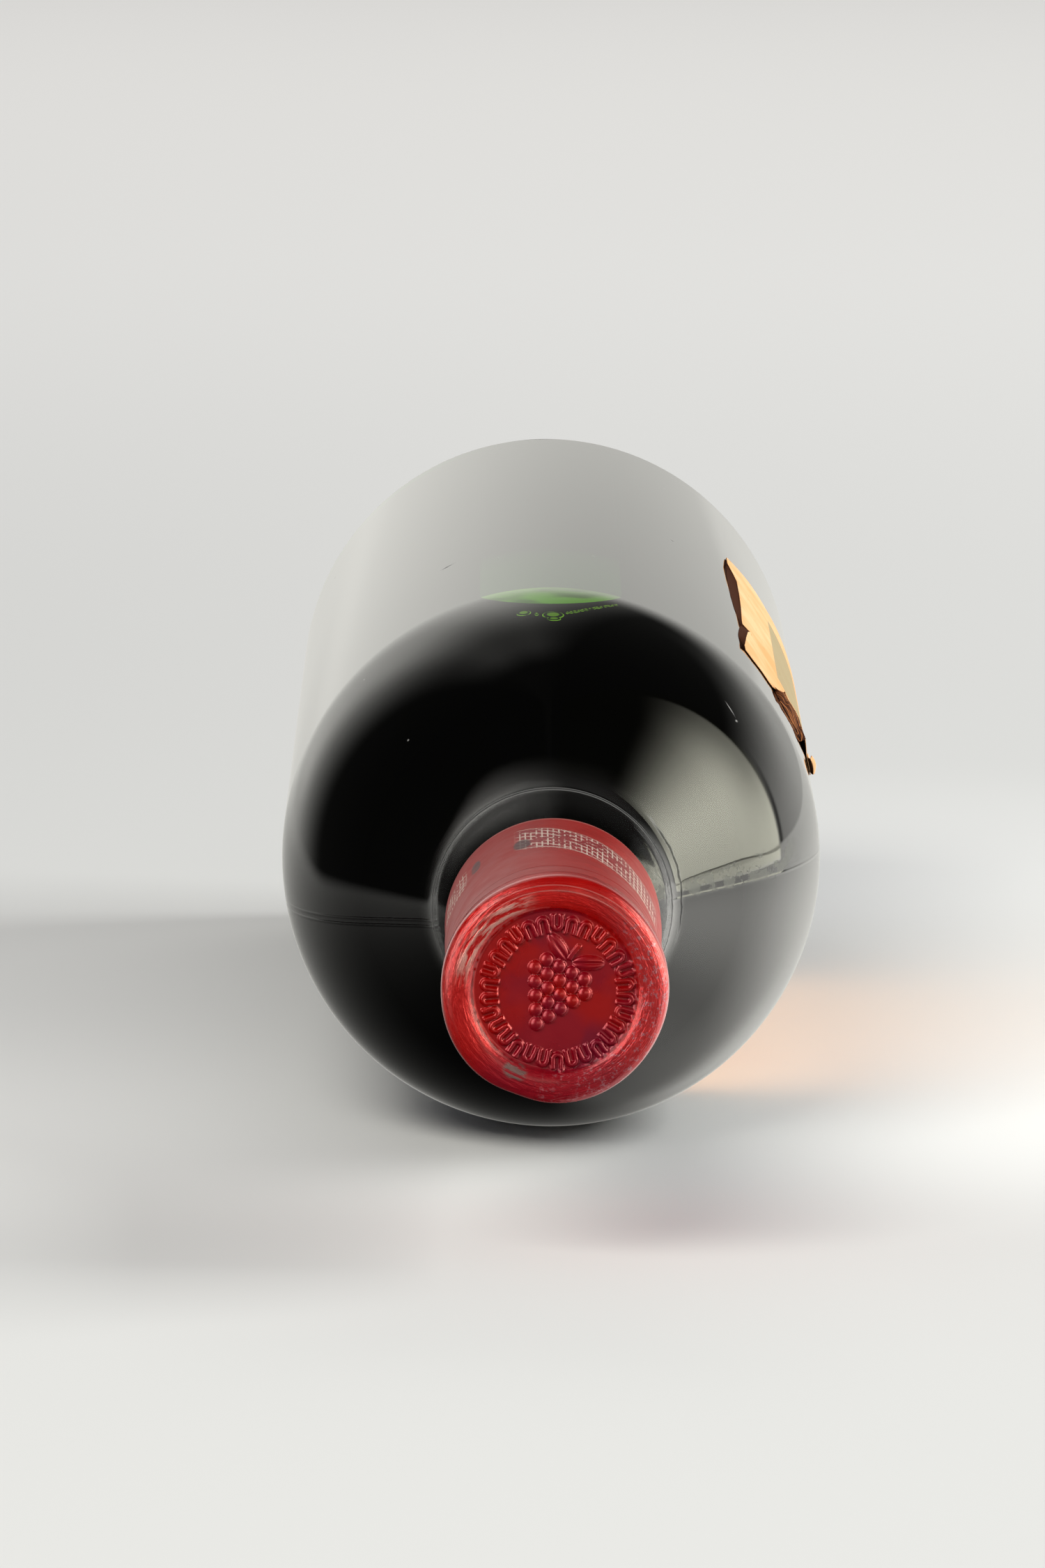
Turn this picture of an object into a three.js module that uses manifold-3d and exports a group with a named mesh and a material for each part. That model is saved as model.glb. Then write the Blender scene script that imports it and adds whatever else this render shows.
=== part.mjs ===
// A corked wine bottle lying on its side: dark glass, the wine in it, a red
// metal capsule over the mouth and a torn paper label.
// Millimetres, +Z up. The bottle's axis runs along Y with the neck towards -Y,
// and the origin is on the floor under the middle of the bottle's length.

import * as THREE from "three";
import { mergeVertices } from "three/addons/utils/BufferGeometryUtils.js";
import Module from "manifold-3d";

const wasm = await Module();
wasm.setup();

// The whole bottle. Heights along it are counted from the capsule's front.
const LENGTH = 300;
const BODY_R = 37.5;
const FLAT_DEPTH = 0.2; // how far the small flat that it rests on cuts in
const AXIS_Z = BODY_R - FLAT_DEPTH;
const SIDES = 48; // facets round every turned piece

// Glass outside
const MOUTH_AT = 0.7;
const LIP_R = 14.25;
const LIP_END = 4.4;
const NECK_R = 13.4;
const CREASE_AT = 70.2; // the sharp ring where the neck meets the shoulder
const CREASE_R = 16.3;
const ROOT_FILLET = 11.27; // radius of the hollow curve behind the crease
const ROOT_ANGLE = THREE.MathUtils.degToRad(19); // its slope at the crease
const FLANK_ANGLE = THREE.MathUtils.degToRad(40);
const SHOULDER_ARC = 50;
const HEEL_R = 6;
const FOOT_R = 30;
const PUNT_DEPTH = 26;

// Glass inside
const WALL = 3.1;
const BASE_WALL = 6;
const BORE_R = 9.4;
const NECK_BORE_END_R = 12.2;
const SHOULDER_SHIFT = 5.8; // the cavity's shoulder lies this much nearer the base: thicker glass there

// Wine
const GAP = 0.3; // clearance between pieces that touch
const ULLAGE_DEPTH = 1.3; // air left over the wine, below the cavity's top

// Capsule
const FOIL = 0.35;
const CAPSULE_LIP_R = 14.9;
const CAPSULE_END = 54;
const CAPSULE_END_R = 14.5;
const DISC_R = 10.4;
const DISC_DEPTH = 0.9;
const LEAF_COUNT = 28;
const LEAF_RING_R = 9;
const BERRY_R = 0.94;
const BERRY_STEP = 1.82;
const BERRY_RISE = 1.6;
const BERRY_ROWS = [1, 2, 3, 4, 5, 4]; // from the bunch's tip up
const BUNCH_MIDDLE_ROW = 3.1;
const MOTIF_TILT = THREE.MathUtils.degToRad(-28);

// Label, by its angle round the bottle from the top and its place along it
const LABEL_OFF = GAP;
const LABEL_THICK = 0.35;
const LABEL_FROM = THREE.MathUtils.degToRad(46);
const LABEL_TO = THREE.MathUtils.degToRad(164);
const LABEL_NEAR = [ // how far forward it reaches, by the angle in degrees
  [46, 139.7], [55, 135.5], [58, 139], [61.5, 149], [68, 155], [71, 146.5], [73.5, 147], [81, 150],
  [86, 176], [94, 180], [105, 158], [118, 140], [164, 137],
];
const LABEL_FAR = 237;
const LABEL_LIFT = 0.5; // how far the torn side edge stands off the glass
const LIFT_WIDTH = THREE.MathUtils.degToRad(9);
const CURL_ANGLE = THREE.MathUtils.degToRad(79); // the small curl on its near edge
const CURL_AT = 150;
const CURL_LENGTH = 9;
const CURL_REACH = 1.4; // how far it stands off the glass

const glassMaterial = new THREE.MeshStandardMaterial({ color: 0x10160f, roughness: 0.06, metalness: 0 });
const wineMaterial = new THREE.MeshStandardMaterial({ color: 0x120204, roughness: 0.1, metalness: 0 });
const capsuleMaterial = new THREE.MeshStandardMaterial({ color: 0x9c1a18, roughness: 0.38, metalness: 0.35 });
const labelMaterial = new THREE.MeshStandardMaterial({ color: 0xe8bd80, roughness: 0.85, metalness: 0 });

// A closed manifold solid from any closed three.js geometry.
function solid(geometry) {
  const bare = geometry.clone();
  bare.deleteAttribute("normal");
  bare.deleteAttribute("uv");
  const merged = mergeVertices(bare, 1e-4);
  const corners = merged.index.array;
  const kept = [];
  for (let i = 0; i < corners.length; i += 3) {
    const [a, b, c] = [corners[i], corners[i + 1], corners[i + 2]];
    if (a !== b && b !== c && c !== a) kept.push(a, b, c);
  }
  return new wasm.Manifold(new wasm.Mesh({
    numProp: 3,
    vertProperties: Float32Array.from(merged.attributes.position.array),
    triVerts: Uint32Array.from(kept),
  }));
}

// A three.js geometry from a manifold solid.
function geometryOf(shape) {
  const mesh = shape.getMesh();
  const geometry = new THREE.BufferGeometry();
  geometry.setAttribute("position", new THREE.BufferAttribute(Float32Array.from(mesh.vertProperties), 3));
  geometry.setIndex(new THREE.BufferAttribute(Uint32Array.from(mesh.triVerts), 1));
  geometry.computeVertexNormals();
  return geometry;
}

// A turned solid from a list of [radius, place along the bottle].
function turned(profile) {
  const points = profile.map(([r, at]) => new THREE.Vector2(r, at - LENGTH / 2));
  return solid(new THREE.LatheGeometry(points, SIDES));
}

// Points of an arc about (centre radius, centre place), each angle counted from the
// outward radius towards the base.
function arc(centreR, centreAt, radius, from, to, steps) {
  const points = [];
  for (let i = 0; i <= steps; i++) {
    const angle = from + ((to - from) * i) / steps;
    points.push([centreR + radius * Math.cos(angle), centreAt + radius * Math.sin(angle)]);
  }
  return points;
}

// The stretch from the neck's root to the start of the straight body: a concave
// fillet, a straight flank and a convex arc, all inset by the wall's thickness,
// with the arc moved along towards the base by a shift.
function shoulder(inset, shift, filletSteps, arcSteps) {
  const rootR = CREASE_R + ROOT_FILLET * Math.cos(ROOT_ANGLE);
  const rootAt = CREASE_AT - ROOT_FILLET * Math.sin(ROOT_ANGLE);
  const fillet = arc(
    rootR, rootAt, ROOT_FILLET + inset, Math.PI - ROOT_ANGLE, Math.PI - FLANK_ANGLE, filletSteps);
  const outerFlankR = rootR - ROOT_FILLET * Math.cos(FLANK_ANGLE);
  const outerFlankAt = rootAt + ROOT_FILLET * Math.sin(FLANK_ANGLE);
  const arcStartR = BODY_R - SHOULDER_ARC * (1 - Math.cos(FLANK_ANGLE));
  const flankRun = (arcStartR - outerFlankR) / Math.tan(FLANK_ANGLE);
  const bodyAt = outerFlankAt + flankRun + SHOULDER_ARC * Math.sin(FLANK_ANGLE);
  const round = arc(
    BODY_R - SHOULDER_ARC, bodyAt + shift, SHOULDER_ARC - inset, -FLANK_ANGLE, 0, arcSteps);
  return [...fillet, ...round];
}

// The hollow under the base, from the axis out to the foot ring.
function punt(rise, radius, baseAt, steps) {
  const points = [];
  for (let i = 0; i <= steps; i++) {
    const share = i / steps;
    const fall = (1 + Math.cos(Math.PI * share)) / 2;
    points.push([radius * share, baseAt - rise * fall]);
  }
  return points;
}

// The space inside the glass, grown inwards by a clearance.
function cavity(clearance) {
  const wall = WALL + clearance;
  const floorAt = LENGTH - BASE_WALL - clearance;
  const heel = HEEL_R - WALL / 2;
  const bodyR = BODY_R - wall;
  return [
    [0, 2 + clearance],
    [BORE_R - clearance, 2 + clearance],
    [NECK_BORE_END_R - clearance, CREASE_AT - 12],
    ...shoulder(wall, SHOULDER_SHIFT, 2, 7),
    ...arc(bodyR - heel, floorAt - heel, heel, 0, Math.PI / 2, 3),
    ...punt(PUNT_DEPTH, FOOT_R - 2, floorAt, 6).reverse(),
  ];
}

function glassBottle() {
  const outer = turned([
    [0, MOUTH_AT],
    [12.6, MOUTH_AT],
    [13.7, MOUTH_AT + 0.25],
    [LIP_R, MOUTH_AT + 0.9],
    [LIP_R, LIP_END],
    [NECK_R, LIP_END + 1.6],
    [CAPSULE_END_R - FOIL - GAP, CAPSULE_END],
    [CREASE_R + 0.1, CREASE_AT - 0.5],
    ...shoulder(0, 0, 3, 9),
    ...arc(BODY_R - HEEL_R, LENGTH - HEEL_R, HEEL_R, 0, Math.PI / 2, 4),
    ...punt(PUNT_DEPTH, FOOT_R, LENGTH, 7).reverse(),
  ]);
  const inside = turned(cavity(0));
  const mouth = turned([[0, -1], [12.3, -1], [12.3, MOUTH_AT], [10.6, 1.7], [BORE_R, 2.6], [0, 2.6]]);
  const floor = new THREE.BoxGeometry(4 * BODY_R, 2 * LENGTH, BODY_R);
  floor.translate(0, 0, -AXIS_Z - BODY_R / 2);
  return outer.subtract(inside).subtract(mouth).subtract(solid(floor));
}

function wine() {
  const full = turned(cavity(GAP));
  const air = new THREE.BoxGeometry(4 * BODY_R, 2 * LENGTH, BODY_R);
  air.translate(0, 0, BODY_R - WALL - ULLAGE_DEPTH + BODY_R / 2);
  return full.subtract(solid(air));
}

// A squashed ball that stands half out of the capsule's disc.
function boss(width, length, height, x, z, turn) {
  const ball = new THREE.SphereGeometry(1, 6, 4);
  ball.rotateX(Math.PI / 2);
  ball.scale(width, height, length);
  ball.rotateY(turn);
  ball.translate(x, DISC_DEPTH - LENGTH / 2, z);
  return solid(ball);
}

// A ring of small leaves, tilted left and right in turn.
function leafRing() {
  const leaves = [];
  for (let i = 0; i < LEAF_COUNT; i++) {
    const angle = (2 * Math.PI * i) / LEAF_COUNT;
    const lean = i % 2 ? 0.45 : -0.45;
    leaves.push(boss(0.55, 1.25, 0.42, LEAF_RING_R * Math.sin(angle), LEAF_RING_R * Math.cos(angle), angle + lean));
  }
  return leaves;
}

// A bunch of grapes with two leaves at its top, hanging askew on the disc.
function grapeBunch() {
  const turn = (x, z) => [
    x * Math.cos(MOTIF_TILT) - z * Math.sin(MOTIF_TILT),
    x * Math.sin(MOTIF_TILT) + z * Math.cos(MOTIF_TILT),
  ];
  const pieces = [];
  BERRY_ROWS.forEach((count, row) => {
    for (let i = 0; i < count; i++) {
      const [x, z] = turn((i - (count - 1) / 2) * BERRY_STEP, (row - BUNCH_MIDDLE_ROW) * BERRY_RISE);
      pieces.push(boss(BERRY_R, BERRY_R, 0.5, x, z, 0));
    }
  });
  for (const side of [-1, 1]) {
    const [x, z] = turn(side * 2.2, 5.2);
    pieces.push(boss(1.0, 2.1, 0.42, x, z, side * 1.1 - MOTIF_TILT));
  }
  return pieces;
}

function capsule() {
  const outer = turned([
    [0, DISC_DEPTH],
    [DISC_R, DISC_DEPTH],
    [DISC_R + 0.9, 0.1],
    [DISC_R + 1.6, 0],
    [13.3, 0],
    [14.3, 0.3],
    [CAPSULE_LIP_R, 1.3],
    [CAPSULE_LIP_R, LIP_END + 0.2],
    [CAPSULE_END_R - 0.4, LIP_END + 2.1],
    [CAPSULE_END_R - 0.25, LIP_END + 4.5],
    [CAPSULE_END_R - 0.4, LIP_END + 5.5],
    [CAPSULE_END_R, CAPSULE_END],
    [0, CAPSULE_END],
  ]);
  const room = turned([
    [0, DISC_DEPTH + FOIL],
    [DISC_R + 0.1, DISC_DEPTH + FOIL],
    [DISC_R + 1.1, FOIL],
    [13.2, FOIL],
    [14.0, FOIL + 0.3],
    [CAPSULE_LIP_R - FOIL, 1.5],
    [CAPSULE_LIP_R - FOIL, LIP_END + 0.1],
    [CAPSULE_END_R - 0.4 - FOIL, LIP_END + 2],
    [CAPSULE_END_R - FOIL, CAPSULE_END],
    [CAPSULE_END_R - FOIL, CAPSULE_END + 2],
    [0, CAPSULE_END + 2],
  ]);
  const relief = wasm.Manifold.union([...leafRing(), ...grapeBunch()]);
  return outer.add(relief).subtract(room);
}

// Where the label's near edge is at an angle: a piece of it is torn off at the
// side, and all of it is ragged.
function nearEdge(angle) {
  const degrees = THREE.MathUtils.radToDeg(angle);
  const after = Math.max(1, LABEL_NEAR.findIndex(([at]) => at >= degrees));
  const [fromAngle, from] = LABEL_NEAR[after - 1];
  const [toAngle, to] = LABEL_NEAR[after];
  const edge = from + ((to - from) * (degrees - fromAngle)) / (toAngle - fromAngle);
  return edge + 0.6 * Math.sin(23 * angle + 1) + 0.4 * Math.sin(41 * angle);
}

// The label as a bent sheet: columns run round the bottle, rows run along it.
function label() {
  const columns = 34;
  const rows = 8;
  const positions = [];
  const index = [];
  const at = (side, column, row) => (side * (columns + 1) + column) * (rows + 1) + row;
  for (const thickness of [0, LABEL_THICK]) {
    for (let i = 0; i <= columns; i++) {
      const angle = LABEL_FROM + ((LABEL_TO - LABEL_FROM) * i) / columns;
      const near = nearEdge(angle);
      const far = LABEL_FAR + 0.5 * Math.sin(7 * angle);
      const lifted = Math.max(0, 1 - (angle - LABEL_FROM) / LIFT_WIDTH);
      for (let j = 0; j <= rows; j++) {
        const along = near + ((far - near) * j) / rows;
        const lift = LABEL_LIFT * lifted * lifted * (1 - 0.5 * Math.cos(along / 9));
        const r = BODY_R + LABEL_OFF + thickness + lift;
        positions.push(r * Math.sin(angle), along - LENGTH / 2, r * Math.cos(angle));
      }
    }
  }
  const quad = (a, b, c, d) => index.push(a, c, b, a, d, c);
  for (let i = 0; i < columns; i++) {
    for (let j = 0; j < rows; j++) {
      quad(at(0, i, j), at(0, i + 1, j), at(0, i + 1, j + 1), at(0, i, j + 1));
      quad(at(1, i, j), at(1, i, j + 1), at(1, i + 1, j + 1), at(1, i + 1, j));
    }
    quad(at(0, i, 0), at(1, i, 0), at(1, i + 1, 0), at(0, i + 1, 0));
    quad(at(0, i, rows), at(0, i + 1, rows), at(1, i + 1, rows), at(1, i, rows));
  }
  for (let j = 0; j < rows; j++) {
    quad(at(0, 0, j), at(0, 0, j + 1), at(1, 0, j + 1), at(1, 0, j));
    quad(at(0, columns, j), at(1, columns, j), at(1, columns, j + 1), at(0, columns, j + 1));
  }
  const sheet = new THREE.BufferGeometry();
  sheet.setAttribute("position", new THREE.BufferAttribute(Float32Array.from(positions), 3));
  sheet.setIndex(index);
  const reach = (CURL_REACH - LABEL_OFF) / 2;
  const curl = new THREE.SphereGeometry(1, 8, 6);
  curl.scale(reach, CURL_LENGTH / 2, reach);
  const curlR = BODY_R + LABEL_OFF + reach + 0.02;
  curl.translate(curlR * Math.sin(CURL_ANGLE), CURL_AT - LENGTH / 2, curlR * Math.cos(CURL_ANGLE));
  return solid(sheet).add(solid(curl));
}

// The glass cut across at the crease ring, as the neck and the body.
function glassLengths() {
  const whole = glassBottle();
  const crease = CREASE_AT - LENGTH / 2;
  return [
    whole.trimByPlane([0, -1, 0], GAP / 2 - crease),
    whole.trimByPlane([0, 1, 0], crease + GAP / 2),
  ];
}

const bottle = new THREE.Group();
bottle.position.z = AXIS_Z;
const [glassNeck, glassBody] = glassLengths();
for (const [name, shape, material] of [
  ["glass_neck", glassNeck, glassMaterial],
  ["glass_body", glassBody, glassMaterial],
  ["wine", wine(), wineMaterial],
  ["capsule", capsule(), capsuleMaterial],
  ["label", label(), labelMaterial],
]) {
  const mesh = new THREE.Mesh(geometryOf(shape), material);
  mesh.name = name;
  bottle.add(mesh);
}

const part = new THREE.Group();
part.add(bottle);
export default part;
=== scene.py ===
import math

import bmesh
import bpy
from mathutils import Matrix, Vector


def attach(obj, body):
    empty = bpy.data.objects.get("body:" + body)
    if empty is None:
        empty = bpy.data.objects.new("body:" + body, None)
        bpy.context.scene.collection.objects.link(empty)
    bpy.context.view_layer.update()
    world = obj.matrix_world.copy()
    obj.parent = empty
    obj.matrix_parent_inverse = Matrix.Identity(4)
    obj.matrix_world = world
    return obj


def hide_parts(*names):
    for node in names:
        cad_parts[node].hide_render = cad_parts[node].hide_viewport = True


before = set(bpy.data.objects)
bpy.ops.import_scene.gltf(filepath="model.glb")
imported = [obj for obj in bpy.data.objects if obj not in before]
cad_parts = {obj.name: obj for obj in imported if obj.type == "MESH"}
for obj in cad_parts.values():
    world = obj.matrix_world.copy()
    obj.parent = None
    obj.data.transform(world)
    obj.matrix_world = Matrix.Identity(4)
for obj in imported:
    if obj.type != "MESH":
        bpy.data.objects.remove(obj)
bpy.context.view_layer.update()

# Camera: a long lens in front of the neck, 1.6 m away, looking down a little, so
# that the far end of the body rises behind the shoulder.
scene = bpy.context.scene
camera = bpy.data.objects.new("camera", bpy.data.cameras.new("camera"))
scene.collection.objects.link(camera)
scene.camera = camera
camera.data.sensor_width = 36
camera.data.lens = 260.378
camera.data.clip_end = 40
camera.location = (-0.006618, -1.598367, 0.278790)
camera.rotation_euler = (math.radians(81.581), 0, math.radians(-0.097))
scene.view_settings.view_transform = "Standard"

# Studio: a pale paper floor under an even sky, with area lamps that show in
# nothing. What the glass and the foil mirror is one map of the room by direction,
# with a softbox on the right, which the sky and the floor share.


class Value:
    """A shader socket that takes part in arithmetic."""

    def __init__(self, tree, socket=None):
        self.tree = tree
        self.socket = socket

    def node(self, kind, settings=(), sockets=(), out=0):
        made = self.tree.nodes.new(kind)
        for name, setting in dict(settings).items():
            setattr(made, name, setting)
        for name, value in dict(sockets).items():
            if isinstance(value, Value):
                self.tree.links.new(value.socket, made.inputs[name])
            else:
                made.inputs[name].default_value = value
        if isinstance(out, tuple):
            return [Value(self.tree, made.outputs[name]) for name in out]
        return Value(self.tree, made.outputs[out]) if made.outputs else None

    def math(self, operation, *others):
        return self.node("ShaderNodeMath", {"operation": operation}, enumerate((self, *others)))

    def __add__(self, other):
        return self.math("ADD", other)

    def __sub__(self, other):
        return self.math("SUBTRACT", other)

    def __rsub__(self, other):
        return self.node("ShaderNodeMath", {"operation": "SUBTRACT"}, {0: other, 1: self})

    def __mul__(self, other):
        return self.math("MULTIPLY", other)

    def __truediv__(self, other):
        return self.math("DIVIDE", other)

    __radd__ = __add__
    __rmul__ = __mul__

    def ramp(self, start, end, low=0, high=1):
        """A smooth step from low at start to high at end."""
        return self.node("ShaderNodeMapRange", {"interpolation_type": "SMOOTHSTEP"}, {
            "Value": self, "From Min": start, "From Max": end, "To Min": low, "To Max": high})

    def peak(self, centre, width):
        """1 at centre, falling smoothly to 0 at width to either side."""
        return (self - centre).math("ABSOLUTE").ramp(width, 0)

    def pick(self, without, full):
        """A mix of two colours, with this value as the factor."""
        return self.node("ShaderNodeMix", {"data_type": "RGBA"}, {0: self, 6: without, 7: full}, 2)

    def noise(self, scale, detail=2, roughness=0.5):
        return self.node("ShaderNodeTexNoise", (), {
            "Vector": self, "Scale": scale, "Detail": detail, "Roughness": roughness}, "Fac")


def colour(red, green, blue):
    """A shader colour from screen values between 0 and 255."""
    return tuple((c / 255) ** 2.2 for c in (red, green, blue)) + (1,)


def studio(direction):
    """The light that comes from a direction, as a colour."""
    x, y, z = direction.node("ShaderNodeSeparateXYZ", (), {0: direction}, (0, 1, 2))
    turn = x.math("ARCTAN2", y) * math.degrees(1)
    rise = z.math("ARCSINE") * math.degrees(1)
    away = turn.math("ABSOLUTE")
    ahead = rise.ramp(22, 52, 0.93, 0.2) - rise.ramp(57, 70, 0, 0.19)
    ahead *= turn.ramp(-56, -28) * turn.ramp(45, 20) * turn.ramp(-9, 5, 1, 0.72)
    ahead *= 1 + 0.26 * turn.peak(-28, 13) * rise.ramp(-3, 3)
    ahead *= 1 - turn.ramp(-8, 14) * rise.ramp(6, 22)
    wall = 1.25 * turn.ramp(14, 46) * rise.ramp(30, 2)
    wall *= 1 - 0.8 * turn.peak(54.3, 2.2) * rise.ramp(25, 5)
    box_edge = turn - rise * 0.06
    box = 7 * box_edge.ramp(55, 57) * turn.ramp(120, 116) * rise.ramp(60, 20) * rise.ramp(80, 25)
    box *= turn.ramp(57, 84, rise.ramp(0, 22, 0.72, 0.22), 1) * rise.ramp(-2, 22, 0.64, 1)
    box_foot = turn.ramp(57, 84, -1.4, 1)
    strip = 2.6 * turn.ramp(55, 56.6) * turn.ramp(120, 116) * rise.ramp(-4.4, -3.9)
    strip *= (rise - box_foot).ramp(-0.3, -0.7)
    box *= (rise - box_foot).ramp(-0.1, 0.2)
    behind = away.ramp(90, 130) * rise.ramp(70, 35, 0.05, 0.4) * away.ramp(140, 168, 1, 0.2)
    behind += 3 * turn.peak(-125, 32).ramp(0, 0.5) * rise.ramp(-12, 0) * rise.ramp(60, 45)
    upper = ahead + wall + box + behind + 0.03
    table_right = turn.ramp(0, 60, 0.85, 2.6) * rise.ramp(-46, -13, 0.38, 1) * rise.ramp(-14, -3, 1, 0.86)
    table_right += 0.25 * turn.peak(22, 18) * rise.peak(-28, 14)
    table_left = 0.9 * ((rise + 4) / 14).math("EXPONENT") * turn.ramp(-75, -25, 0.68, 1)
    side = (turn - rise.ramp(-10, -22, 0, 7)).ramp(-8, 8) * away.ramp(150, 100)
    table = (table_right * side + table_left * (1 - side)) * away.ramp(110, 155, 1, 0.3)
    horizon = rise - turn.ramp(-60, -35, -8.5, -5) - turn.ramp(-30, 30, 0, 4)
    horizon /= turn.ramp(-8, 12, 2.2, 0.4)
    light = upper * horizon.ramp(-1, 1) + table * horizon.ramp(1, -1) + strip
    warm = turn.ramp(54, 57) * rise.ramp(-5, -3)
    tint = warm.pick((1, 0.99, 0.93, 1), (1, 0.99, 0.82, 1))
    return tint.node("ShaderNodeVectorMath", {"operation": "SCALE"}, {0: tint, "Scale": light})


world = bpy.data.worlds.new("studio")
scene.world = world
world.use_nodes = True
world.node_tree.nodes.clear()
world.cycles.sampling_method = "NONE"
sky = Value(world.node_tree)
looking = sky.node("ShaderNodeTexCoord", out="Generated")
direct, scattered = sky.node("ShaderNodeLightPath", out=("Is Camera Ray", "Is Diffuse Ray"))
seen = scattered.pick(studio(looking), (0.252, 0.258, 0.286, 1))
seen = direct.pick(seen, (0.78, 0.77, 0.74, 1))
sky.node("ShaderNodeOutputWorld", (), {"Surface": sky.node("ShaderNodeBackground", (), {"Color": seen})})


def lamp(name, size, place, aim, power, tint=(1, 1, 1)):
    """An area light that lights things but shows in nothing."""
    light = bpy.data.lights.new(name, "AREA")
    light.shape = "RECTANGLE"
    light.size, light.size_y = size
    light.energy = power
    light.color = tint
    lamp_object = bpy.data.objects.new(name, light)
    lamp_object.location = place
    lamp_object.rotation_euler = (Vector(aim) - Vector(place)).to_track_quat("-Z", "Y").to_euler()
    lamp_object.visible_camera = lamp_object.visible_glossy = lamp_object.visible_transmission = False
    scene.collection.objects.link(lamp_object)


lamp("softbox_right", (1.0, 0.9), (1.3, 0.1, 0.8), (0, 0, 0.03), 19.0, (0.97, 1, 0.99))
lamp("softbox_front", (1.2, 0.8), (-0.7, -1.3, 1.3), (0, 0, 0.03), 23.4, (1, 1, 0.94))
lamp("background", (2.4, 1.0), (0.2, 1.9, 1.3), (0.1, 1.3, 0), 14.4, (1, 0.985, 0.94))


def painted(name):
    """A new material, and an empty value in its tree."""
    material = bpy.data.materials.new(name)
    material.use_nodes = True
    material.node_tree.nodes.clear()
    return material, Value(material.node_tree)


def piece(name, mesh, material, smooth=True):
    """A new object of the bottle from a bmesh."""
    data = bpy.data.meshes.new(name)
    mesh.to_mesh(data)
    mesh.free()
    for face in data.polygons:
        face.use_smooth = smooth
    data.materials.append(material)
    made = bpy.data.objects.new(name, data)
    scene.collection.objects.link(made)
    return made


floor_mesh = bmesh.new()
bmesh.ops.create_grid(floor_mesh, x_segments=1, y_segments=1, size=14)
floor_material, t = painted("floor_paper")
floor_material.cycles.emission_sampling = "NONE"
incoming = t.node("ShaderNodeNewGeometry", out="Incoming")
outgoing = t.node("ShaderNodeVectorMath", {"operation": "SCALE"}, {0: incoming, "Scale": -1.0})
mirrored = t.node("ShaderNodeLightPath", out="Is Glossy Ray")
x, y = t.node("ShaderNodeSeparateXYZ", (), {0: t.node("ShaderNodeTexCoord", out="Object")}, (0, 1))
# Painted light and shade in the paper's colour: darker in a band beyond y 0.04 m that starts further back on
# the right, darker towards the front, and lighter in a band across the bottle.
painted_light_and_shade = 0.87 - (y - x.ramp(-0.03, 0.03, 0, 0.12)).ramp(0.04, 0.2, 0, 0.14) * y.ramp(1.2, 0.3)
painted_light_and_shade = painted_light_and_shade - y.ramp(-0.05, -0.14, 0, 0.1) + 0.13 * y.peak(-0.03, 0.1)
paper = t.node("ShaderNodeBsdfPrincipled", (), {
    "Base Color": painted_light_and_shade.pick((0, 0, 0, 1), (0.92, 0.908, 0.88, 1)), "Roughness": 1, "Specular IOR Level": 0.0})
# Painted shadow: what the glass mirrors of the floor is made dark close under the bottle.
shade = x.math("ABSOLUTE").ramp(0.002, 0.02, 0.9, 0) * y.ramp(-0.06, -0.03)
shown = t.node("ShaderNodeEmission", (), {"Color": shade.pick(studio(outgoing), (0, 0, 0, 1))})
t.node("ShaderNodeOutputMaterial", (), {
    "Surface": t.node("ShaderNodeMixShader", (), {0: mirrored, 1: paper, 2: shown})})
floor = piece("floor", floor_mesh, floor_material)

# Glass shell: the bottle itself in dark green blown glass, 3 mm thick, with two
# mould seams, a sharp ring at the neck's root with a painted dark shade line and a
# painted highlight band beside it, dust painted lighter on its lit sides, and small
# scuffs. It is one closed solid of revolution, resting on a narrow flat.
AXIS_Z = 37.3
BODY_R = 37.5
CREASE_AT = 70.2
CREASE_R = 16.3
FILLET = 11.27
ROOT = math.radians(19)
FLANK = math.radians(40)
SHOULDER_ARC = 50
SHOULDER_SHIFT = 5.8
WALL = 3.1
HEEL = 6
PUNT_DEPTH = 26
LENGTH = 300


def place(radius, at, angle):
    """A point in metres, from its radius and place along the bottle in mm and its angle from the top."""
    turn = math.radians(angle)
    return Vector((radius * math.sin(turn), at - LENGTH / 2, AXIS_Z + radius * math.cos(turn))) / 1000


def arc(centre_r, centre_at, radius, start, end, steps):
    """(radius, place) points of an arc, its angles from the outward radius towards the base."""
    turns = [start + (end - start) * i / steps for i in range(steps + 1)]
    return [(centre_r + radius * math.cos(a), centre_at + radius * math.sin(a)) for a in turns]


def shoulder(inset, shift=0):
    """From the neck's root to the body: a fillet, a flank and an arc, moved by shift towards the base."""
    root_r = CREASE_R + FILLET * math.cos(ROOT)
    root_at = CREASE_AT - FILLET * math.sin(ROOT)
    fillet = arc(root_r, root_at, FILLET + inset, math.pi - ROOT, math.pi - FLANK, 14)
    flank_r = root_r - FILLET * math.cos(FLANK)
    arc_r = BODY_R - SHOULDER_ARC * (1 - math.cos(FLANK))
    run = (arc_r - flank_r) / math.tan(FLANK)
    body_at = root_at + FILLET * math.sin(FLANK) + run + SHOULDER_ARC * math.sin(FLANK)
    return fillet + arc(BODY_R - SHOULDER_ARC, body_at + shift, SHOULDER_ARC - inset, -FLANK, 0, 34)


def punt(radius, base_at, steps=18):
    """The hollow under the base, from the foot ring in to the axis."""
    shares = [1 - i / steps for i in range(steps + 1)]
    return [(radius * k, base_at - PUNT_DEPTH * (1 + math.cos(math.pi * k)) / 2) for k in shares]


def cavity(wall):
    """The inside of the glass from the neck to the axis at the base."""
    heel = HEEL - WALL / 2
    floor_at = LENGTH - HEEL + WALL - wall
    return [
        (15.3 - wall, CREASE_AT - 12), *shoulder(wall, SHOULDER_SHIFT),
        *arc(BODY_R - wall - heel, floor_at - heel, heel, 0, math.pi / 2, 8), *punt(28, floor_at),
    ]


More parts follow.
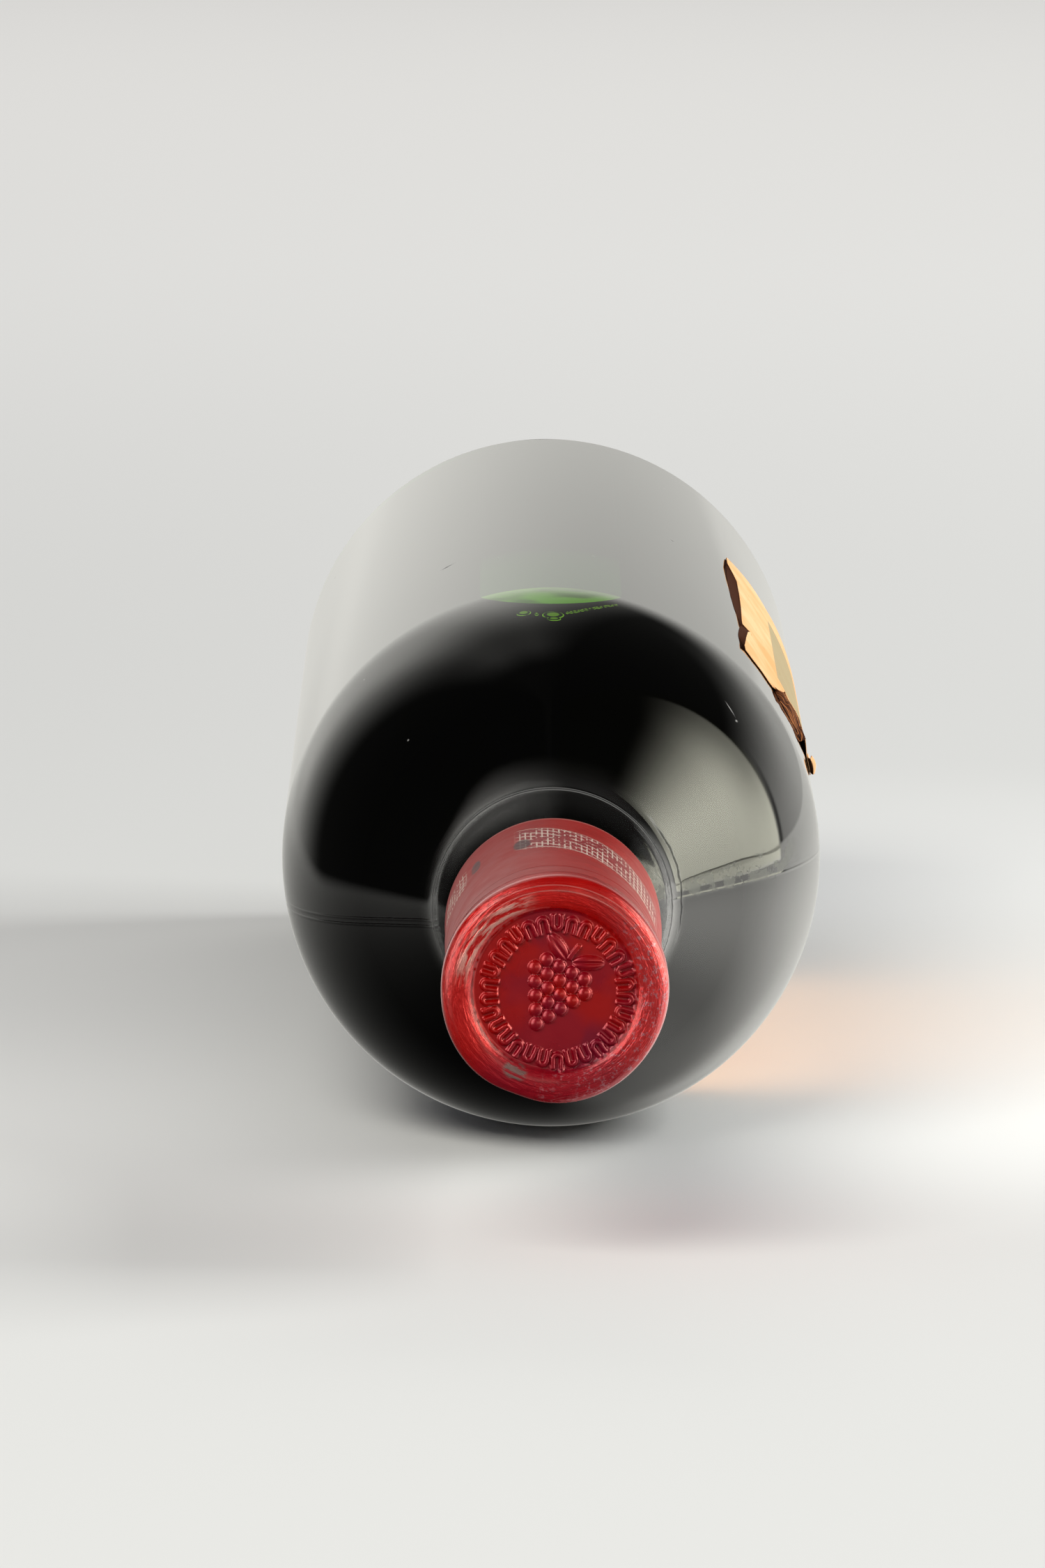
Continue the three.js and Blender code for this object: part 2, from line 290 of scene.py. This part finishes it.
def turned(profile, steps=192):
    """A closed solid of revolution about the bottle's axis, as a bmesh."""
    mesh = bmesh.new()
    points = [mesh.verts.new(place(r, at, 0)) for r, at in profile]
    edges = [mesh.edges.new(pair) for pair in zip(points, points[1:])]
    bmesh.ops.spin(mesh, geom=points + edges, cent=place(0, 0, 0), axis=(0, 1, 0), angle=math.tau,
                   steps=steps, use_merge=True, use_duplicate=False)
    bmesh.ops.remove_doubles(mesh, verts=mesh.verts, dist=1e-6)
    bmesh.ops.recalc_face_normals(mesh, faces=mesh.faces)
    for vertex in mesh.verts:
        vertex.co.z = max(vertex.co.z, 0)
    return mesh


def along(t):
    """Where a shaded point is: place and radius in mm, angle from the top in degrees, and raw position."""
    spot = t.node("ShaderNodeTexCoord", out="Object")
    x, y, z = t.node("ShaderNodeSeparateXYZ", (), {0: spot}, (0, 1, 2))
    x, y, z = x * 1000, y * 1000, z * 1000 - AXIS_Z
    angle = x.math("ARCTAN2", z) * math.degrees(1)
    return y + LENGTH / 2, (x * x + z * z).math("SQRT"), angle, spot


def stretched(spot, x, y, z):
    """A position with its axes scaled."""
    return spot.node("ShaderNodeVectorMath", {"operation": "MULTIPLY"}, {0: spot, 1: (x, y, z)})


glass_mesh = turned([
    *punt(30, LENGTH)[::-1], *arc(BODY_R - HEEL, LENGTH - HEEL, HEEL, math.pi / 2, 0, 12),
    *shoulder(0)[::-1], (CREASE_R + 0.05, CREASE_AT - 0.5),
    (15.2, 64), (14.4, 58), (13.85, 54), (13.4, 6), (14.25, 4.4), (14.25, 1.6),
    (13.7, 0.95), (12.6, 0.7), (10.6, 1.7), (9.4, 2.6), *cavity(WALL),
])
glass_material, t = painted("bottle_glass")
at, radius, angle, spot = along(t)
on_body = at.ramp(112, 118)
seam_right = (angle - 87.7) * radius / 57.3
seam_left = (angle + 99.3) * radius / 57.3
wavy = spot.noise(9, 1) * 0.06 + stretched(spot, 1, 0.2, 1).noise(28, 2) * 0.012
ridge = seam_right.peak(0, 0.3) * 0.035 + seam_left.peak(-0.35, 0.3) * 0.04 + seam_left.peak(0.5, 0.3) * 0.03
bump = t.node("ShaderNodeBump", (), {"Height": wavy + ridge, "Strength": 1, "Distance": 0.001}, 0)
speck_distance, speck_colour = t.node(
    "ShaderNodeTexVoronoi", (), {"Vector": spot, "Scale": 160}, ("Distance", "Color"))
speck_kind = t.node("ShaderNodeSeparateColor", (), {0: speck_colour}, 0)
specks = speck_distance.ramp(0.05, 0.03) * speck_kind.ramp(0.8, 0.82)
grime_band = angle.ramp(79.5, 82) * angle.ramp(89, 86.5) * at.ramp(72, 75) * at.ramp(99, 90)
grime = stretched(spot, 1, 0.5, 1).noise(420, 4, 0.62).ramp(0.5, 0.56) * grime_band
# Painted light: how much lighter the dust and the crease highlight are on the sides that the lamps light.
lit_side = angle.ramp(10, -42, 0.02, 0.24) + angle.ramp(52, 84, 0, 0.34) - angle.ramp(95, 120, 0, 0.32)
lit_side -= angle.ramp(-46, -75, 0, 0.2)
# Painted highlight: a pale band on the shoulder beside the crease, brighter on the sides that the lamps
# light.
highlight_end = angle.math("ABSOLUTE").ramp(20, 60, 5.8, 2.6)
crease_highlight = (at - CREASE_AT).ramp(0.2, 0.5) * (at - CREASE_AT).ramp(highlight_end, -0.5) * lit_side * 0.75
# Dust on the neck, painted lighter on the lit sides and darker next to the capsule as shade.
neck_dust_and_light = at.ramp(CREASE_AT, CREASE_AT - 0.3) * at.ramp(56, 68, 0.08, 1) * lit_side * 0.36
# Painted shade: a dark line along the neck side of the crease, and a ragged dark line just past it on the
# right.
ragged_edge = (at - 72.2 - spot.noise(420, 3) * 1.2).math("ABSOLUTE")
crease_shade_line = at.peak(69.25, 0.75) + ragged_edge.ramp(0.32, 0.1) * angle.ramp(44, 58) * angle.ramp(112, 96)
crease_shade_line = crease_shade_line.math("MINIMUM", 1)
streaks = stretched(spot, 1, 0.06, 1).noise(260, 3, 0.6).ramp(0.6, 0.8) * on_body * 0.02


def mark(centre_angle, centre_at, slope, half_turn, half_width):
    """A scuff: a thin slanted stroke, half_turn degrees long each way and half_width mm wide each way."""
    turned_by = angle - centre_angle
    offset = (at - centre_at) - turned_by * slope
    return turned_by.peak(0, half_turn) * offset.peak(0, half_width)


scuffs = mark(-23, 162.3, 0.6, 2.6, 1.3) + mark(29.2, 205.7, -0.9, 1.1, 1.0)
scuffs = scuffs * spot.noise(900, 2).ramp(0.35, 0.55)
scratch = mark(46.5, 96.2, -0.25, 2.4, 0.2) + mark(49.4, 95.2, 0.1, 0.5, 0.35)
glass = t.node("ShaderNodeBsdfPrincipled", (), {
    "Base Color": (1, 1, 1, 1), "Roughness": 0.0, "IOR": 1.5, "Transmission Weight": 1, "Normal": bump})
# The diffuse coat is pale for dust and the painted highlights, and near black for the scuffs and the painted
# shade lines.
dust_and_shade_colour = (scuffs + crease_shade_line).pick((0.62, 0.6, 0.57, 1), (0.015, 0.015, 0.015, 1))
dust_and_painted_light = t.node("ShaderNodeBsdfPrincipled", (), {
    "Base Color": dust_and_shade_colour, "Roughness": 1, "Specular IOR Level": 0.0})
cover = specks * 0.5 + crease_highlight + neck_dust_and_light + streaks + scuffs * 0.75 + scratch * 0.5 + crease_shade_line * 0.7
cover = cover.math("MINIMUM", 0.9)
dirt = t.node("ShaderNodeBsdfPrincipled", (), {"Base Color": (0.05, 0.052, 0.045, 1), "Roughness": 0.45})
surface = t.node("ShaderNodeMixShader", (), {0: cover, 1: glass, 2: dust_and_painted_light})
surface = t.node("ShaderNodeMixShader", (), {0: grime * 0.7, 1: surface, 2: dirt})
green = t.node("ShaderNodeVolumeAbsorption", (), {"Color": (0.35, 0.7, 0.2, 1), "Density": 700.0})
t.node("ShaderNodeOutputMaterial", (), {"Surface": surface, "Volume": green})
glass_shell = piece("glass_shell", glass_mesh, glass_material)
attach(glass_shell, "root")
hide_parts("glass_neck", "glass_body")

# Wine: it fills the bottle but for a shallow air pocket along the top. It reaches
# just into the glass, and its level has a painted green glow at the near end of the
# pocket, an emission that stands in for the light which passes over it.
LEVEL = 33.15
INTO_GLASS = 0.15
wine_mesh = turned([(0, 2.2), (9.55, 2.2), *cavity(WALL - INTO_GLASS)])
bmesh.ops.bisect_plane(
    wine_mesh, geom=wine_mesh.verts[:] + wine_mesh.edges[:] + wine_mesh.faces[:],
    plane_co=(0, 0, (AXIS_Z + LEVEL) / 1000), plane_no=(0, 0, 1), clear_outer=True)
bmesh.ops.holes_fill(wine_mesh, edges=[edge for edge in wine_mesh.edges if edge.is_boundary])
bmesh.ops.recalc_face_normals(wine_mesh, faces=wine_mesh.faces)
wine_material, t = painted("red_wine")
at, radius, angle, spot = along(t)
height = radius * (angle * math.radians(1)).math("COSINE")
level_mask = height.ramp(LEVEL - 0.03, LEVEL - 0.01)
view_rise = t.node("ShaderNodeSeparateXYZ", (), {0: t.node("ShaderNodeNewGeometry", out="Incoming")}, 2)
# Painted glow on the wine's level, uneven in patches and fading as the view looks down on it.
glow_variation = spot.noise(150, 1).ramp(0.4, 0.6, 1.1, 0.45)
bowed = at + (radius * radius - LEVEL * LEVEL) * 0.07
glow = level_mask * bowed.ramp(125, 124) * view_rise.ramp(0.5, 0.2) * glow_variation
glow_colour = glow.pick((0, 0, 0, 1), (1.0, 0.85, 0.2, 1))
wine_surface = t.node("ShaderNodeBsdfPrincipled", (), {
    "Base Color": (0.006, 0.0015, 0.002, 1), "Roughness": 0.3, "Specular IOR Level": 0.0,
    "Emission Color": glow_colour, "Emission Strength": 1.0})
t.node("ShaderNodeOutputMaterial", (), {"Surface": wine_surface})
wine_fill = piece("wine_fill", wine_mesh, wine_material, smooth=False)
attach(wine_fill, "root")
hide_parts("wine")

# Bubbles: small flat bubbles of air under the glass at the near end of the
# pocket, with a painted green glow on their rims, made as flattened balls half
# sunk in the wine.
bubble_mesh = bmesh.new()
rim_share = bubble_mesh.verts.layers.float.new("rim_share")
bubbles = [
    (-6.2, 107.0, 0.95, 0.8), (0.4, 106.0, 1.4, 1.05), (-3.3, 106.4, 0.25, 0.5), (0.6, 104.9, 0.9, 0.5)]
for i in range(14):
    bubbles.append((3.6 + 0.82 * i, 106.8 + 0.242 * i + 0.0155 * i * i, 0.2 + 0.1 * (i % 3), 0.35))
cavity_arc = SHOULDER_ARC - WALL + INTO_GLASS
for turn, at_bubble, half_width, half_length in bubbles:
    slope = math.asin(max(0, 120.6 - at_bubble) / cavity_arc)
    radius_there = BODY_R - SHOULDER_ARC + cavity_arc * math.cos(slope)
    for vertex in bmesh.ops.create_uvsphere(bubble_mesh, u_segments=24, v_segments=12, radius=1)["verts"]:
        x, y, z = vertex.co
        vertex[rim_share] = math.hypot(x, y)
        vertex.co = place(radius_there + 0.28 * z + half_length * y * math.tan(slope),
                          at_bubble + half_length * y, turn + math.degrees(x * half_width / radius_there))
bubble_material, t = painted("bubble_film")
spot = t.node("ShaderNodeTexCoord", out="Object")
rim = t.node("ShaderNodeAttribute", {"attribute_name": "rim_share"}, out="Fac")
# Painted glow: the rims emit green light that stands in for light caught in the bubbles.
bright = rim.ramp(0.62, 0.5) * 0.5 + rim.ramp(0.86, 0.93) * spot.noise(900, 2).ramp(0.4, 0.55, 0.1, 1)
film = t.node("ShaderNodeBsdfPrincipled", (), {
    "Base Color": (0.01, 0.02, 0.005, 1), "Roughness": 0.3, "Specular IOR Level": 0.0,
    "Emission Color": bright.pick((0.01, 0.015, 0.002, 1), (1.9, 1.15, 0.42, 1)), "Emission Strength": 1.0})
t.node("ShaderNodeOutputMaterial", (), {"Surface": film})
air_bubbles = piece("air_bubbles", bubble_mesh, bubble_material)
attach(air_bubbles, "root")

# Capsule: red lacquered foil spun over the mouth, with a rolled lip, a sunk disc
# with a ring of small arches and a bunch of grapes in relief, and a skirt with
# wrinkles and a worn ornament. Its colour also carries painted highlights and
# reflections on the rim and the skirt's back edge.
DISC_R = 10.4
DISC_AT = 0.9
ARCHES = 30
MOTIF_TILT = math.radians(28)
berries = []
for row, count in enumerate((1, 2, 3, 4, 5, 4)):
    for i in range(count):
        berries.append(((i - (count - 1) / 2) * 1.82, (row - 3.1) * 1.6))


def blob(x, z, cx, cz, half_width, half_length, turn):
    """Height from 0 to 1 of an oval boss, and how far across it the point is."""
    dx, dz = x - cx, z - cz
    across = (dx * math.cos(turn) - dz * math.sin(turn)) / half_width
    length = (dx * math.sin(turn) + dz * math.cos(turn)) / half_length
    return math.sqrt(max(0, 1 - across * across - length * length)), across


def relief(x, z):
    """How far the disc's relief stands out at a point, in mm."""
    height = 0
    ring = math.hypot(x - 0.35, z + 0.2)
    cell = math.atan2(x - 0.35, z + 0.2) / (math.tau / ARCHES)
    across = (cell - round(cell)) * math.tau / ARCHES * ring
    upward = ring - 8.3 if round(cell) % 3 else 9.7 - ring
    stroke = abs(abs(across) - 0.56) if upward < 0.9 else abs(math.hypot(across, upward - 0.9) - 0.56)
    if 7.7 < ring < 10.2:
        height = 0.5 * max(0, min(1, (0.34 - stroke) / 0.14))
    u = x * math.cos(MOTIF_TILT) - z * math.sin(MOTIF_TILT)
    v = x * math.sin(MOTIF_TILT) + z * math.cos(MOTIF_TILT)
    for cx, cz in berries:
        height = max(height, 0.6 * blob(u, v, cx, cz, 0.94, 0.94, 0)[0])
    for side in (-1, 1):
        boss, middle = blob(u, v, side * 2.2, 5.2, 1.0, 2.1, side * 1.1)
        height = max(height, 0.5 * boss * (1 - 0.5 * math.exp(-(middle / 0.2) ** 2)))
    stem = abs(u - 0.25 * math.sin(v)) < 0.3 and 4.4 < v < 6.8
    return max(height, 0.4 if stem else 0)


capsule_profile = [(DISC_R * i / 88, DISC_AT) for i in range(89)]
capsule_profile += [
    (10.75, 0.62), (11.05, 0.34), (11.35, 0.14), (11.8, 0.03), (12.4, 0), (13.1, 0.02),
    (13.7, 0.12), (14.2, 0.36), (14.6, 0.72), (14.83, 1.15), (14.9, 1.6), (14.9, 2.4),
    (14.9, 3.6), (14.88, 4.8), (14.8, 5.4), (14.6, 5.9), (14.34, 6.4), (14.14, 6.9),
    (14.1, 7.5), (14.18, 8.2), (14.24, 8.8), (14.2, 9.3), (14.12, 9.9), (14.13, 10.8)]
capsule_profile += [(14.13 + 0.37 * i / 44, 10.8 + 43.2 * i / 44) for i in range(1, 45)]
capsule_profile += [
    (14.42, 54.12), (14.25, 54.1), (14.2, 53.9), (13.85, 10), (13.8, 6.6), (14.5, 4.6),
    (14.5, 1.7), (13.9, 0.8), (13.2, 0.4), (11.9, 0.4), (11.3, 0.6), (10.5, 1.3), (0, 1.3)]


def crumple(radius, at, angle):
    """How far the foil is pushed in or out, in mm: soft wrinkles and a dented lip."""
    push = 0
    if 0.38 < at < 5 and radius < 14.55:
        return push
    if 1 < at < 53.5 and radius > 13.9:
        wrinkle = 0.05 * math.sin(3 * angle + at / 3) + 0.03 * math.sin(7 * angle - at / 5)
        ring = 0.06 * math.sin(at * 1.9 + 0.8 * math.sin(2 * angle)) * math.exp(-((at - 11) / 5) ** 2)
        push += wrinkle * min(1, (at - 1) / 8) + ring
    if radius > 12 and at < 6:
        push += 0.10 * math.sin(2 * angle + 1) + 0.06 * math.sin(5 * angle)
        push -= 0.25 * math.exp(-((math.degrees(angle) - 200) / 12) ** 2)
    return push


capsule_mesh = turned(capsule_profile, 432)
for vertex in capsule_mesh.verts:
    x, z = vertex.co.x * 1000, vertex.co.z * 1000 - AXIS_Z
    at_vertex = vertex.co.y * 1000 + LENGTH / 2
    radius_there = math.hypot(x, z)
    turn = math.atan2(x, z) % math.tau
    on_face = radius_there < DISC_R + 0.01 and at_vertex < DISC_AT + 0.01
    lift = relief(x, z) if on_face else 0
    push = crumple(radius_there, at_vertex, turn)
    vertex.co = place(radius_there + push, at_vertex - lift, math.degrees(turn))
bmesh.ops.recalc_face_normals(capsule_mesh, faces=capsule_mesh.faces)
capsule_material, t = painted("capsule_foil")
at, radius, angle, spot = along(t)
on_skirt = at.ramp(6, 7.5)
on_disc = radius.ramp(11, 10.5) * at.ramp(3, 2)
on_front = at.ramp(1.6, 0.8)
polar = t.node("ShaderNodeCombineXYZ", (), {0: radius, 1: angle * 0.035, 2: at * 0.5})
arcs = polar.noise(1.7, 3, 0.6)
grain = spot.noise(1500, 3, 0.7).ramp(0.52, 0.66)
cloud = spot.noise(110, 3)
to_bottom = angle.math("ABSOLUTE").ramp(120, 150)
lacquer = cloud.ramp(0.35, 0.7).pick(colour(178, 6, 5), colour(198, 20, 13))
lacquer = on_disc.pick(lacquer, colour(170, 3, 2))
magenta = cloud.ramp(0.46, 0.62) * 0.6 * on_disc * angle.ramp(-140, -60, 0.3, 1) + to_bottom * on_front * 0.6
lacquer = magenta.pick(lacquer, colour(132, 4, 40))
right = angle.ramp(20, 55) * angle.ramp(175, 140) * radius.ramp(10.3, 12) * on_front
lacquer = (right * (0.3 + grain * 0.5)).pick(lacquer, colour(146, 60, 66))
# Painted highlight: cream streaks on the inner bevel at the upper left.
left_bevel_highlight = angle.ramp(-92, -66) * angle.ramp(-8, -26) * radius.ramp(10.8, 11.6) * radius.ramp(13.6, 12.6)
lacquer = (left_bevel_highlight * on_front * arcs.ramp(0.42, 0.58)).pick(lacquer, colour(214, 150, 138))
# Painted reflection: pink smears on the outer rim at the upper left.
outer = angle.ramp(-125, -90) * angle.ramp(0, -40) * radius.ramp(13, 14) * at.ramp(5, 1) * arcs.ramp(0.4, 0.6)
lacquer = (outer * 0.5).pick(lacquer, colour(184, 80, 76))
# Painted highlight: two thin light arcs along the upper front rim.
rim_highlight_arcs = (radius.peak(13.2, 0.14) + radius.peak(13.9, 0.12)) * at.ramp(2, 1)
rim_highlight_arcs *= angle.ramp(-80, -40) * angle.ramp(60, 30)
lacquer = (rim_highlight_arcs * 0.5).pick(lacquer, colour(214, 130, 124))
grit = grain * on_front * radius.ramp(10.6, 11.4) * cloud.ramp(0.45, 0.6)
grit *= (to_bottom + right).math("MINIMUM", 1)
lacquer = (grit * 0.6).pick(lacquer, colour(180, 120, 128))
bare = (angle.peak(-154, 14) * radius.peak(11.7, 2)).ramp(0.25, 0.6) * arcs.ramp(0.4, 0.5) * on_front
lacquer = (bare * 0.85).pick(lacquer, colour(112, 92, 88))
dusty = at.ramp(34, 6, 0.3, 0.9) * angle.ramp(60, -50, 0.55, 1) * arcs.ramp(0.3, 0.7, 0.75, 1)
skirt = dusty.pick(colour(156, 32, 28), colour(160, 68, 66))
lacquer = on_skirt.pick(lacquer, skirt)
centre_line = at + angle * 0.12
band = centre_line.ramp(29, 31) * centre_line.ramp(46, 44) * angle.ramp(-22, -16) * angle.ramp(74, 66)
print_left = centre_line.ramp(25, 27) * centre_line.ramp(40, 38) * angle.ramp(-82, -78) * angle.ramp(-52, -56)
round_net = (angle * 1.05).math("SINE").math("ABSOLUTE").ramp(0.55, 0.3)
along_net = (at * 1.25 + angle * 0.3).math("SINE").math("ABSOLUTE").ramp(0.45, 0.2)
wear = spot.noise(420, 3, 0.7).ramp(0.42, 0.5)
net = (round_net + along_net).math("MINIMUM", 1) * wear
rules = centre_line.peak(30.4, 0.5) + centre_line.peak(45, 0.5)
net = (net + rules).math("MINIMUM", 1)
ornament = (band + print_left) * net
lacquer = (band * 0.45).pick(lacquer, colour(122, 66, 72))
lacquer = (ornament * 0.95).pick(lacquer, colour(216, 190, 176))
smudge = angle.peak(-17, 7) * at.peak(36, 5) + angle.peak(-46, 5) * at.peak(40, 6)
smudge = smudge.ramp(0.1, 0.4) * cloud.ramp(0.3, 0.5)
lacquer = (smudge * 0.85).pick(lacquer, colour(78, 62, 64))
# Painted highlight: a thin light line along the skirt's back edge.
lacquer = (at.peak(53.7, 0.5) * 0.5).pick(lacquer, colour(200, 140, 132))
foil_bump = spot.noise(160, 3) * 0.1 + spot.noise(900, 2) * 0.02 + arcs * on_front * (1 - on_disc) * 0.35
foil_bump -= (at + angle * 0.004).peak(9.2, 0.7) * 0.3 + (at - angle * 0.006).peak(15, 0.8) * 0.22
bump = t.node("ShaderNodeBump", (), {"Height": foil_bump, "Strength": 1, "Distance": 0.001}, 0)
sheen = spot.noise(200, 3).ramp(0.3, 0.7, 0.24, 0.36) + on_skirt * 0.16
foil = t.node("ShaderNodeBsdfPrincipled", (), {
    "Base Color": lacquer, "Metallic": 0.42, "Roughness": sheen,
    "Coat Weight": on_skirt.ramp(1, 0, 0.05, 0.5), "Coat Roughness": 0.12, "Normal": bump})
t.node("ShaderNodeOutputMaterial", (), {"Surface": foil})
capsule = piece("capsule_foil", capsule_mesh, capsule_material)
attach(capsule, "root")
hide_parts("capsule")

# Label: aged tan paper glued to the right side of the body, torn along its near
# edge, with a lifted upper edge, a notch, a curl and a plain olive printed field.
# A dark sheet from the glass to the lifted edge is a painted shadow, and the
# paper's faces that turn to the glass are painted dark brown as shade.
PAPER = 0.14
LABEL_AT = 139.7
LABEL_LONG = 95.8
LABEL_FOOT = 164


def between(points, x):
    """The value at x on a line through (x, value) points."""
    for (x0, v0), (x1, v1) in zip(points, points[1:]):
        if x <= x1:
            return v0 + (v1 - v0) * max(0, min(1, (x - x0) / (x1 - x0)))
    return points[-1][1]


side_edge = [
    (139.7, 47.2), (141.5, 46.5), (148.7, 46.9), (159, 47.9), (162, 48.6), (165, 49.3), (166.6, 47.2),
    (170, 47.1), (184, 47.2), (197, 47.0), (210.7, 46.7), (218, 45.9), (227, 45.0), (235.5, 45.3)]
lift_along = [
    (139.7, 0), (142, 0.34), (148.7, 0.54), (164, 0.56), (166.6, 0.16), (173, 0.2), (184, 0.34),
    (197, 0.48), (210, 0.54), (218, 0.4), (227, 0.16), (235.5, 0)]
foot_edge = [
    (139.7, 47.2), (141.5, 47.0), (146.6, 46.1), (148.7, 45.5), (152, 45.6), (158, 46.1), (163.7, 46.7),
    (166.1, 47.1), (170.8, 46.6), (178.4, 45.6), (190.6, 44.9), (207, 44.6), (226, 44.9), (235.5, 45.3)]
near_edge = [
    (46, 139.7), (47.2, 139.7), (49.5, 137.6), (52.4, 136.8), (55, 135.3), (57.1, 136.5), (58.3, 138.9),
    (60, 143), (61.2, 149), (61.9, 145), (63.5, 147), (66.8, 152), (68.4, 153), (69.3, 148),
    (70.4, 146.5), (73.5, 147), (76, 149), (79, 150), (81, 152), (83.5, 168), (86, 177), (90, 179),
    (94, 180), (98, 173), (105, 158), (118, 140), (130, 139), (142, 136), (152, 138), (164, 136)]
torn_foot = [
    (57.2, 138.5), (58, 136), (59.8, 134.8), (61.6, 134.6), (64, 135.8), (66.9, 139.5), (69.2, 142.5),
    (72, 145.6), (74, 147)]
far_edge = [(44, 235.5), (53, 236.5), (60, 235), (68, 237), (90, 236), (120, 237), (164, 236)]


def torn_lift(turn, behind_edge):
    """How far the paper stands up beside the tear, in mm."""
    in_tear = max(0, min(1, (turn - 56.5) / 3)) * max(0, min(1, (76 - turn) / 4))
    return 0.5 * in_tear * max(0, 1 - behind_edge / 5) ** 2


def paper_point(u, v, thick):
    """The label's faces from two shares: round the bottle, and from its near edge to its far one."""
    edge_at = LABEL_AT + v * LABEL_LONG
    start = between(side_edge, edge_at)
    turn = start + (LABEL_FOOT - start) * u ** 1.35
    near, far = between(near_edge, turn), between(far_edge, turn)
    s = near + (far - near) * v
    lift = between(lift_along, edge_at) * max(0, 1 - (turn - start) / 10) ** 2
    return place(BODY_R + 0.06 + lift + torn_lift(turn, s - near) + thick, s, turn)


def sheet(mesh, columns, rows, where):
    """A grid of paper whose points are given by where(u, v)."""
    made = bmesh.ops.create_grid(mesh, x_segments=columns, y_segments=rows, size=0.5)["verts"]
    for vertex in made:
        vertex.co = where(vertex.co.x + 0.5, vertex.co.y + 0.5)


def thick_sheet(mesh, columns, rows, where):
    """A grid of paper and its copy a thickness further out, joined round their edges."""
    made = bmesh.ops.create_grid(mesh, x_segments=columns, y_segments=rows, size=0.5)["verts"]
    faces = {face for vertex in made for face in vertex.link_faces}
    edges = {edge for vertex in made for edge in vertex.link_edges}
    raised = bmesh.ops.extrude_face_region(mesh, geom=[*made, *edges, *faces], use_keep_orig=True)["geom"]
    outer = [part for part in raised if isinstance(part, bmesh.types.BMVert)]
    for vertices, thick in ((made, 0), (outer, PAPER)):
        for vertex in vertices:
            vertex.co = where(vertex.co.x + 0.5, vertex.co.y + 0.5, thick)


def shadow_under_lift(u, v):
    """A dark sheet from the glass out to the lifted side edge, a painted shadow in the gap under it."""
    s = LABEL_AT + v * LABEL_LONG
    out = BODY_R + 0.02 + (between(lift_along, s) + 0.03) * u
    return place(out, s, between(foot_edge, s) + (between(side_edge, s) - between(foot_edge, s)) * u)


def tear(u, v):
    """The underside of the paper folded up along the tear, from the glass out to the torn edge."""
    turn = 57.2 + 14.6 * u
    foot = between(torn_foot, turn)
    s = foot + (between(near_edge, turn) + 0.3 - foot) * v
    fold = 0.16 * math.sin(math.pi * v) + 0.05 * math.sin(9 * math.pi * v + turn)
    return place(BODY_R + 0.05 + (torn_lift(turn, 0) + fold) * min(1, 3 * v), s, turn)


def curl_point(u, v, thick):
    """A small curl that stands off the glass at the side."""
    turn = 76.6 + 3.9 * u
    roll = math.radians(-50 + 215 * v)
    size = 0.34 + 0.16 * math.sin(math.pi * u)
    out = BODY_R + 0.2 + size - (size - thick) * math.cos(roll)
    return place(out, 151.5 + 1.5 * u - (3.0 - thick) * math.sin(roll), turn)


label_mesh = bmesh.new()
thick_sheet(label_mesh, 170, 110, paper_point)
thick_sheet(label_mesh, 14, 18, curl_point)
bmesh.ops.recalc_face_normals(label_mesh, faces=label_mesh.faces)
upper_faces = set(label_mesh.faces)
# A painted shadow under the lifted side edge, and the paper's underside along the tear, both in the dark
# brown material.
sheet(label_mesh, 3, 120, shadow_under_lift)
sheet(label_mesh, 60, 16, tear)
for face in label_mesh.faces:
    if face not in upper_faces:
        face.material_index = 1
label_material, t = painted("label_paper")
at, radius, angle, spot = along(t)
tan = spot.noise(80, 4, 0.6).ramp(0.3, 0.7).pick(colour(238, 172, 114), colour(250, 202, 152))
tan = stretched(spot, 1, 0.3, 1).noise(700, 3, 0.7).ramp(0.62, 0.75).pick(tan, colour(216, 160, 104))
field = angle.ramp(59.6, 60.2) * (angle + at * 0.1).ramp(97, 95.5)
field *= at.ramp(222, 221) * (at + 0.25 * spot.noise(500, 2)).ramp(159, 160.5)
tan = (field * 0.9).pick(tan, colour(166, 154, 122))
upper_side = t.node("ShaderNodeNewGeometry", out="Normal")
x, z = t.node("ShaderNodeSeparateXYZ", (), {0: upper_side}, (0, 2))
px, pz = t.node("ShaderNodeSeparateXYZ", (), {0: spot}, (0, 2))
outward = (x * px + z * (pz - AXIS_Z / 1000)) * 1000 / radius
# Painted shade: faces of the paper that turn towards the glass are dark brown.
tan = outward.ramp(0.2, -0.2).pick(tan, colour(96, 58, 30))
edge_stain = (at.ramp(141, 137) * angle.ramp(56, 58)).pick(tan, colour(150, 92, 46))
fibre = spot.noise(1300, 3) * 0.04 + spot.noise(150, 2) * 0.1
bump = t.node("ShaderNodeBump", (), {"Height": fibre, "Strength": 1, "Distance": 0.001}, 0)
paper = t.node("ShaderNodeBsdfPrincipled", (), {
    "Base Color": edge_stain, "Roughness": 0.85, "Specular IOR Level": 0.2, "Normal": bump})
t.node("ShaderNodeOutputMaterial", (), {"Surface": paper})
# Dark brown for the paper's underside at the tear and for the painted shadow under the lifted edge.
underside, t = painted("label_underside_and_shadow")
at, radius, angle, spot = along(t)
along_tear = t.node("ShaderNodeCombineXYZ", (), {0: at - angle * 0.6, 1: angle * 0.05, 2: 0})
fibres = along_tear.noise(1.6, 3, 0.7).ramp(0.5, 0.62) * angle.ramp(57, 61)
brown = fibres.pick(colour(58, 31, 18), colour(196, 122, 72))
rough_side = t.node("ShaderNodeBsdfPrincipled", (), {
    "Base Color": brown, "Roughness": 0.9, "Specular IOR Level": 0.1})
t.node("ShaderNodeOutputMaterial", (), {"Surface": rough_side})
label = piece("label_paper", label_mesh, label_material)
label.data.materials.append(underside)
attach(label, "root")
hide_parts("label")
